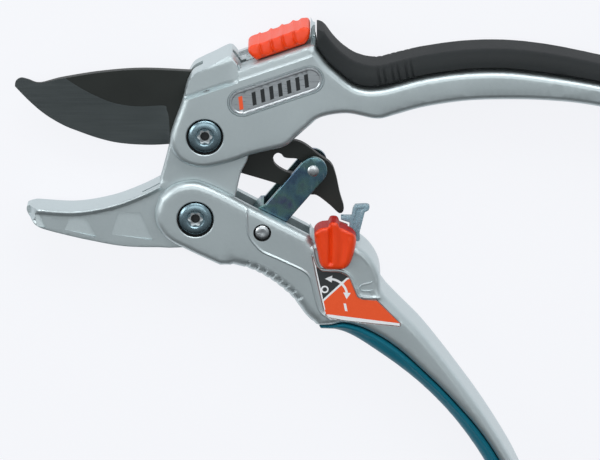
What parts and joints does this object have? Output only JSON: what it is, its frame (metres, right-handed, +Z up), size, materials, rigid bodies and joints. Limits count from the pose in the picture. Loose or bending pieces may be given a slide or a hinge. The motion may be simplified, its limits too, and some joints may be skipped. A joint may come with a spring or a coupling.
{
  "type": "pruning shears",
  "caption": "Ratchet anvil pruning shears lying flat: dark blade open over a flat-topped jaw, two curved cast handles, sliding lock and thumb-operated ratchet selector",
  "frame": {"origin": "middle of the base of the tool's bounding box, as it lies on a table with the screw heads up", "axes": "+X from the jaws to the handle ends, +Y across the tool from the lower handle to the upper handle, +Z up out of the side that shows the screw heads"},
  "size_m": [0.216, 0.17, 0.022],
  "materials": {
    "cast": "die-cast aluminium, shot blasted to an even satin grey, edges a little brighter",
    "coated_blade": "dark non-stick coating over steel, with a wide ground bevel that is a little lighter",
    "plated_steel": "bright zinc-plated steel with a slight blue cast",
    "bronze": "plain bearing bronze",
    "bright_steel": "bright steel",
    "zinc_strap": "dark blue-green zinc-plated strip, smooth and fairly shiny",
    "black_grip": "soft black grip, even matt grain",
    "teal_grip": "dark teal grip, satin",
    "orange_plastic": "orange moulded plastic, satin gloss",
    "clear_grey_plastic": "pale blue-grey plastic that lets a little light through",
    "badge_metal": "raised satin badge with a bright rim",
    "label_film": "flat printed film with plain orange, black and white areas"
  },
  "bodies": {
    "upper_body": {"upper_handle": "cast", "upper_grip": "black_grip", "anvil_frame": "cast", "badge_plate": "badge_metal", "frame_pin": "bright_steel", "blade_pivot_screw": "plated_steel", "blade_pivot_nut": "plated_steel", "blade_pivot_bush": "bronze", "handle_pivot_screw": "plated_steel", "handle_pivot_nut": "plated_steel", "handle_pivot_bush": "bronze", "blade_washer_front": "bright_steel", "blade_washer_back": "bright_steel"},
    "blade_body": {"blade": "coated_blade"},
    "lower_body": {"lower_handle": "cast", "lower_grip": "teal_grip", "label_plate": "label_film", "link_pivot_rivet": "bright_steel", "handle_spring": "bright_steel"},
    "link_body": {"ratchet_link": "zinc_strap", "ratchet_pin": "bright_steel", "link_spring": "bright_steel"},
    "selector_body": {"selector_lever": "orange_plastic", "selector_catch": "clear_grey_plastic"},
    "lock_body": {"lock_slider": "orange_plastic", "lock_bar": "bright_steel"}
  },
  "joints": [
    {"name": "handle_squeeze", "type": "hinge", "parent": "upper_body", "child": "lower_body", "pos_m": [-0.05105, 0.0228, 0.0095], "axis": [0, 0, 1], "range_deg": [0, 35.9], "stiffness_Nm_per_rad": 0.5, "springref_deg": -28.65, "deforming": ["handle_spring"]},
    {"name": "blade_pivot", "type": "hinge", "parent": "upper_body", "child": "blade_body", "pos_m": [-0.04785, 0.05, 0.0095], "axis": [0, 0, 1], "range_deg": [0, 35.27]},
    {"name": "link_pivot", "type": "hinge", "parent": "lower_body", "child": "link_body", "pos_m": [-0.02985, 0.0184, 0.0095], "axis": [0, 0, 1], "range_deg": [-13.56, 0], "deforming": ["link_spring"]},
    {"name": "ratchet_selector", "type": "hinge", "parent": "lower_body", "child": "selector_body", "pos_m": [-0.00785, -0.0003, 0.0095], "axis": [0, 0, -1], "range_deg": [0, 58]},
    {"name": "blade_lock", "type": "slide", "parent": "upper_body", "child": "lock_body", "axis": [-0.9449, -0.3272, 0], "range_m": [0, 0.0038]}
  ],
  "couplings": [
    {"joint": "blade_pivot", "follows": "handle_squeeze", "ratio": 0.98256},
    {"joint": "link_pivot", "follows": "handle_squeeze", "ratio": -0.3777}
  ]
}
